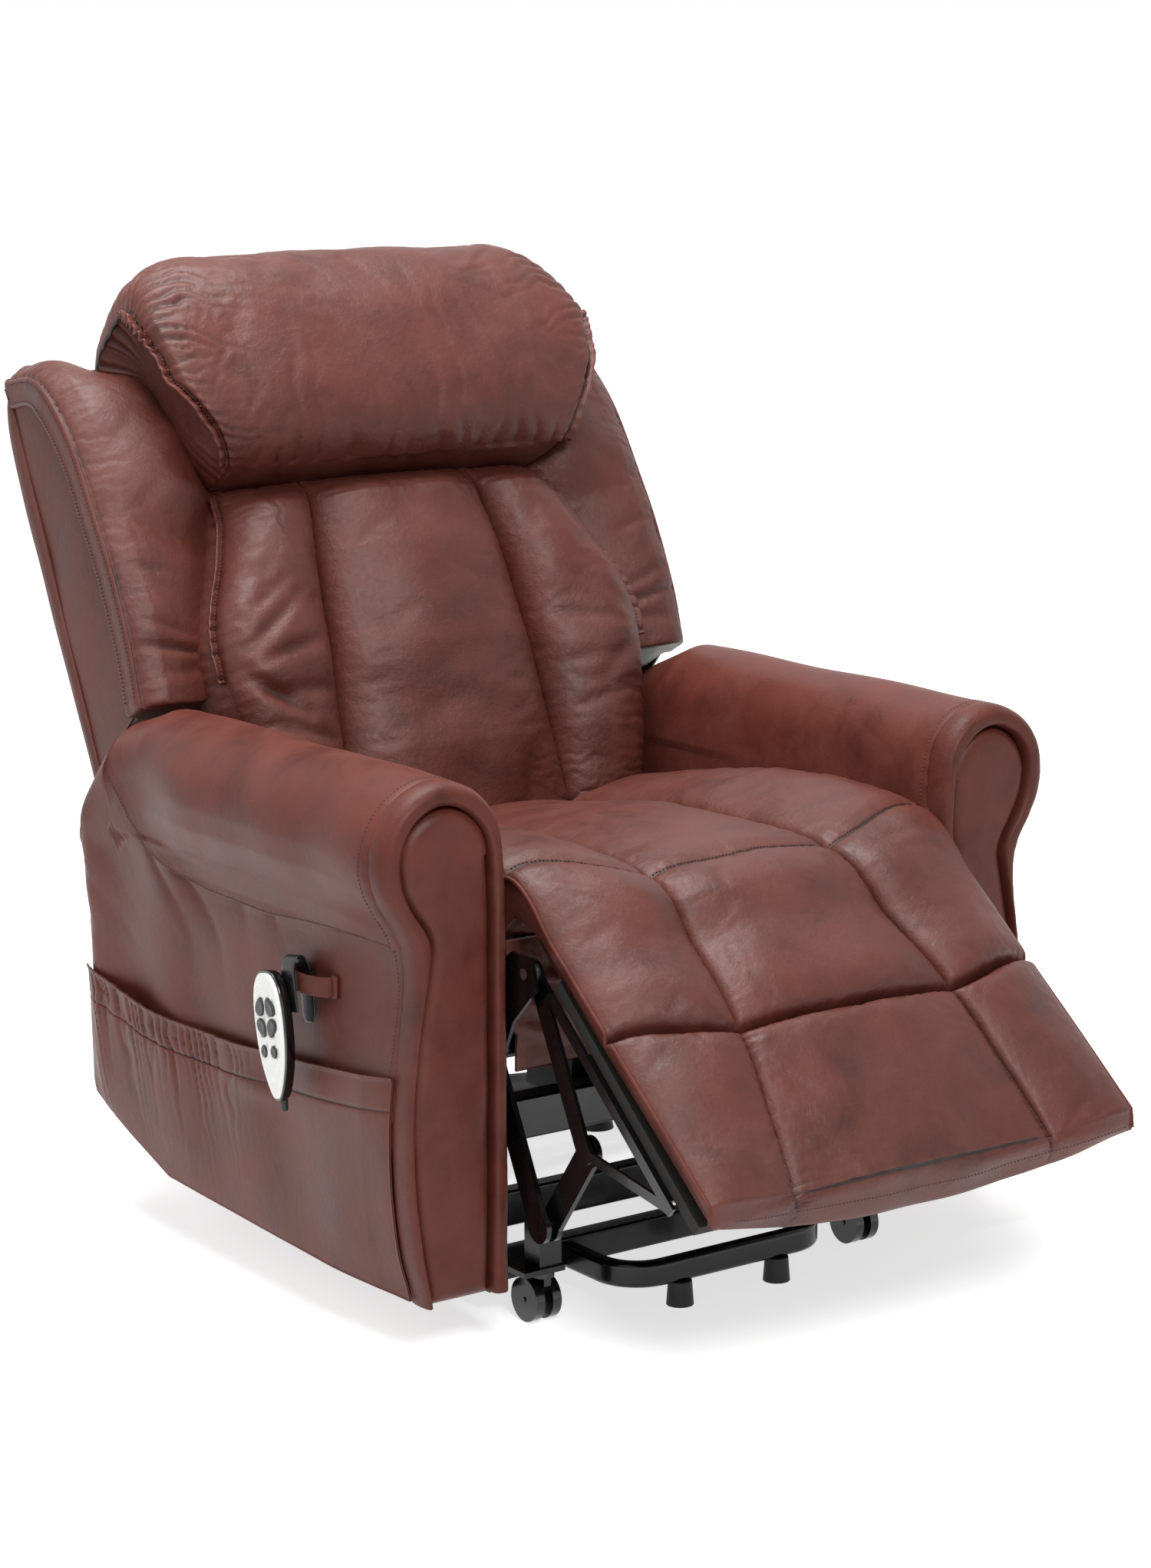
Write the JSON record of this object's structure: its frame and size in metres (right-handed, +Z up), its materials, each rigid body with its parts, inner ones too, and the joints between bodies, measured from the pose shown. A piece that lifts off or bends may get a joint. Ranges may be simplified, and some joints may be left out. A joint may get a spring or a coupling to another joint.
{
  "type": "lift recliner chair",
  "caption": "Upholstered recliner on a powered lifting base, with a padded back, rolled arms, a hinged leg rest, a side pocket and a clip-on handset.",
  "frame": {"origin": "on the floor, in the middle of the chair's footprint as modelled", "axes": "+X to the right-hand side seen from the front, +Y towards the rear, +Z up"},
  "size_m": [0.8963, 1.239, 1.0857],
  "materials": {
    "leather": "mottled oxblood upholstery leather, semi-gloss",
    "leather_border": "piped border leather, semi-gloss",
    "frame_steel": "gloss black powder coat",
    "pin_steel": "zinc-plated steel",
    "rod_chrome": "polished push rod",
    "motor_plastic": "matt black moulded housing",
    "wood": "sawn beech and ply",
    "spring_wire": "oil-tempered wire",
    "rubber": "black rubber foot",
    "caster_plastic": "black nylon",
    "handset_black": "gloss black shell",
    "handset_white": "white face",
    "button_black": "black keys",
    "clip_plastic": "black spring clip"
  },
  "bodies": {
    "base": {"base_rails": "frame_steel", "base_front": "frame_steel", "base_rear_tube": "frame_steel", "base_feet": "rubber", "caster_sockets": "frame_steel", "base_pins": "pin_steel"},
    "front_links": {"front_arms": "frame_steel", "front_arm_tube": "frame_steel"},
    "rear_links": {"rear_arms": "frame_steel", "rear_arm_tube": "frame_steel"},
    "chassis": {"chassis_plates": "frame_steel", "chassis_tubes": "frame_steel", "chassis_pins": "pin_steel", "seat_side_rails": "wood", "seat_cross_rails": "wood", "seat_springs": "spring_wire", "seat_cushion": "leather", "front_apron": "leather", "arm_left": "leather", "arm_right": "leather", "arm_border_left": "leather_border", "arm_border_right": "leather_border", "arm_panel_left": "leather", "arm_panel_right": "leather", "arm_glides": "motor_plastic", "side_pocket": "leather", "strap_loop": "leather"},
    "cranks": {"leg_cranks": "frame_steel", "leg_drive_tube": "frame_steel"},
    "push_rods": {"leg_rods": "frame_steel"},
    "legrest": {"leg_brackets": "frame_steel", "leg_board": "wood", "calf_pad": "leather", "foot_pad": "leather"},
    "back": {"back_brackets": "frame_steel", "back_lever": "frame_steel", "back_posts": "wood", "back_rails": "wood", "back_shell": "leather", "wing_left": "leather", "wing_right": "leather", "lumbar_cushion": "leather", "head_pillow": "leather"},
    "lift_motor_body": {"lift_motor": "motor_plastic"},
    "lift_rod_body": {"lift_rod": "rod_chrome"},
    "back_motor_body": {"back_motor": "motor_plastic"},
    "back_rod_body": {"back_rod": "rod_chrome"},
    "fork_left": {"caster_fork_left": "caster_plastic"},
    "fork_right": {"caster_fork_right": "caster_plastic"},
    "wheels_left": {"caster_wheels_left": "caster_plastic"},
    "wheels_right": {"caster_wheels_right": "caster_plastic"},
    "handset": {"handset_shell": "handset_black", "handset_face": "handset_white", "handset_clip": "clip_plastic"},
    "button_back_up_key": {"button_back_up": "button_black"},
    "button_back_down_key": {"button_back_down": "button_black"},
    "button_leg_up_key": {"button_leg_up": "button_black"},
    "button_leg_down_key": {"button_leg_down": "button_black"},
    "button_lift_key": {"button_lift": "button_black"},
    "button_lower_key": {"button_lower": "button_black"}
  },
  "joints": [
    {"name": "lift", "type": "hinge", "parent": "base", "child": "front_links", "pos_m": [0, -0.17151, 0.088], "axis": [1, 0, 0], "range_deg": [0, 60]},
    {"name": "chassis_tilt", "type": "hinge", "parent": "front_links", "child": "chassis", "pos_m": [0, 0.14849, 0.11], "axis": [1, 0, 0], "range_deg": [-42, 0.3]},
    {"name": "rear_link_turn", "type": "hinge", "parent": "base", "child": "rear_links", "pos_m": [0, -0.10151, 0.11], "axis": [1, 0, 0], "range_deg": [-0.3, 55.2]},
    {"name": "lift_motor_turn", "type": "hinge", "parent": "chassis", "child": "lift_motor_body", "pos_m": [0, -0.14151, 0.205], "axis": [1, 0, 0], "range_deg": [-2, 6]},
    {"name": "lift_rod_push", "type": "slide", "parent": "lift_motor_body", "child": "lift_rod_body", "axis": [0, 0.9617, -0.2742], "range_m": [-0.001, 0.0351]},
    {"name": "back_recline", "type": "hinge", "parent": "chassis", "child": "back", "pos_m": [0, 0.21849, 0.33], "axis": [-1, 0, 0], "range_deg": [-9, 20]},
    {"name": "back_motor_turn", "type": "hinge", "parent": "chassis", "child": "back_motor_body", "pos_m": [0, -0.14151, 0.205], "axis": [1, 0, 0], "range_deg": [-2, 2]},
    {"name": "back_rod_pull", "type": "slide", "parent": "back_motor_body", "child": "back_rod_body", "axis": [0, 0.9933, 0.1154], "range_m": [-0.0305, 0.0142]},
    {"name": "leg_rest", "type": "hinge", "parent": "chassis", "child": "legrest", "pos_m": [0, -0.32151, 0.405], "axis": [-1, 0, 0], "range_deg": [-46, 40.6]},
    {"name": "crank_turn", "type": "hinge", "parent": "chassis", "child": "cranks", "pos_m": [0, -0.25151, 0.31], "axis": [-1, 0, 0], "range_deg": [-46.3, 40.9]},
    {"name": "push_rod_turn", "type": "hinge", "parent": "cranks", "child": "push_rods", "pos_m": [0, -0.33622, 0.13993], "axis": [-1, 0, 0], "range_deg": [-40.9, 46.3]},
    {"name": "handset_lift", "type": "slide", "parent": "chassis", "child": "handset", "axis": [0, 0, 1], "range_m": [0, 0.06]},
    {"name": "swivel_left", "type": "hinge", "parent": "base", "child": "fork_left", "pos_m": [-0.218, -0.25151, 0.05], "axis": [0, 0, 1], "continuous": true},
    {"name": "roll_left", "type": "hinge", "parent": "fork_left", "child": "wheels_left", "pos_m": [-0.218, -0.23851, 0.025], "axis": [1, 0, 0], "continuous": true},
    {"name": "swivel_right", "type": "hinge", "parent": "base", "child": "fork_right", "pos_m": [0.218, -0.25151, 0.05], "axis": [0, 0, 1], "continuous": true},
    {"name": "roll_right", "type": "hinge", "parent": "fork_right", "child": "wheels_right", "pos_m": [0.218, -0.23851, 0.025], "axis": [1, 0, 0], "continuous": true},
    {"name": "press_back_up", "type": "slide", "parent": "handset", "child": "button_back_up_key", "axis": [1, 0, 0], "range_m": [0, 0.0012], "stiffness_N_per_m": 800, "springref_m": -0.0004},
    {"name": "press_back_down", "type": "slide", "parent": "handset", "child": "button_back_down_key", "axis": [1, 0, 0], "range_m": [0, 0.0012], "stiffness_N_per_m": 800, "springref_m": -0.0004},
    {"name": "press_leg_up", "type": "slide", "parent": "handset", "child": "button_leg_up_key", "axis": [1, 0, 0], "range_m": [0, 0.0012], "stiffness_N_per_m": 800, "springref_m": -0.0004},
    {"name": "press_leg_down", "type": "slide", "parent": "handset", "child": "button_leg_down_key", "axis": [1, 0, 0], "range_m": [0, 0.0012], "stiffness_N_per_m": 800, "springref_m": -0.0004},
    {"name": "press_lift", "type": "slide", "parent": "handset", "child": "button_lift_key", "axis": [1, 0, 0], "range_m": [0, 0.0012], "stiffness_N_per_m": 800, "springref_m": -0.0004},
    {"name": "press_lower", "type": "slide", "parent": "handset", "child": "button_lower_key", "axis": [1, 0, 0], "range_m": [0, 0.0012], "stiffness_N_per_m": 800, "springref_m": -0.0004}
  ],
  "couplings": [
    {"joint": "chassis_tilt", "follows": "lift", "ratio": -0.695},
    {"joint": "rear_link_turn", "follows": "lift", "ratio": 0.913},
    {"joint": "lift_motor_turn", "follows": "lift", "ratio": 0.055847},
    {"joint": "lift_rod_push", "follows": "lift", "m_per_rad": 0.032566},
    {"joint": "back_motor_turn", "follows": "back_recline", "ratio": -0.070045},
    {"joint": "back_rod_pull", "follows": "back_recline", "m_per_rad": -0.084752},
    {"joint": "crank_turn", "follows": "leg_rest", "ratio": 1},
    {"joint": "push_rod_turn", "follows": "leg_rest", "ratio": -1}
  ]
}
